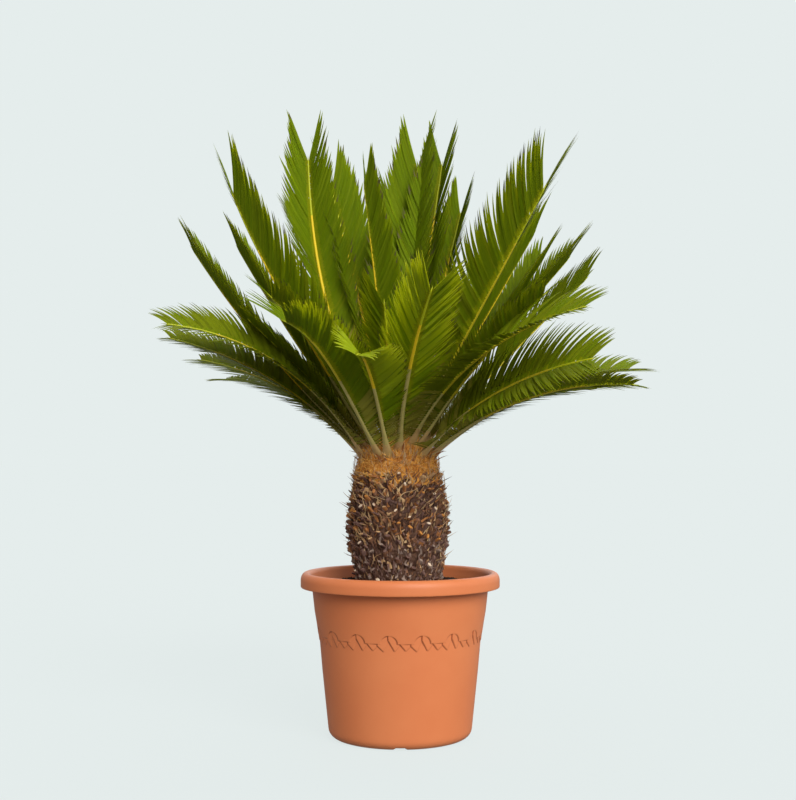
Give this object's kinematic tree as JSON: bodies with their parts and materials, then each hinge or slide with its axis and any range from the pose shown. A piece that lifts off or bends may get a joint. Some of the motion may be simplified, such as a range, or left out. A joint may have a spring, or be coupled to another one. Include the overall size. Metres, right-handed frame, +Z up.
{
  "type": "potted sago palm",
  "caption": "Sago palm with a short scaly trunk and a full crown of stiff feather fronds, in a round rimmed terracotta-coloured pot.",
  "frame": {"origin": "middle of the pot's flat underside", "axes": "+Z up, +X to the right and +Y away from someone who faces the plant as in the picture"},
  "size_m": [0.9891, 0.99, 1.2906],
  "materials": {
    "terracotta_plastic": "matte moulded plastic, terracotta colour",
    "potting_soil": "moist crumbly potting soil",
    "trunk_fibre": "rough brown leaf bases with tan cut ends",
    "frond_green": "stiff, slightly glossy green leaflets on a yellow rib"
  },
  "bodies": {
    "root": {"pot": "terracotta_plastic", "soil": "potting_soil", "trunk": "trunk_fibre", "frond_left_1": "frond_green", "frond_left_2": "frond_green", "frond_left_3": "frond_green", "frond_left_4": "frond_green", "frond_left_5": "frond_green", "frond_left_6": "frond_green", "frond_left_7": "frond_green", "frond_left_8": "frond_green", "frond_left_9": "frond_green", "frond_front_1": "frond_green", "frond_front_2": "frond_green", "frond_front_3": "frond_green", "frond_front_4": "frond_green", "frond_right_1": "frond_green", "frond_right_2": "frond_green", "frond_right_3": "frond_green", "frond_right_4": "frond_green", "frond_right_5": "frond_green", "frond_right_6": "frond_green", "frond_right_7": "frond_green", "frond_right_8": "frond_green", "frond_right_9": "frond_green", "frond_right_10": "frond_green", "frond_top_1": "frond_green", "frond_top_2": "frond_green", "frond_top_3": "frond_green", "frond_top_4": "frond_green", "frond_top_5": "frond_green", "frond_top_6": "frond_green", "frond_back_1": "frond_green", "frond_back_2": "frond_green", "frond_back_3": "frond_green", "frond_back_4": "frond_green", "frond_back_5": "frond_green", "frond_back_6": "frond_green", "frond_back_7": "frond_green", "frond_back_8": "frond_green"}
  },
  "joints": []
}
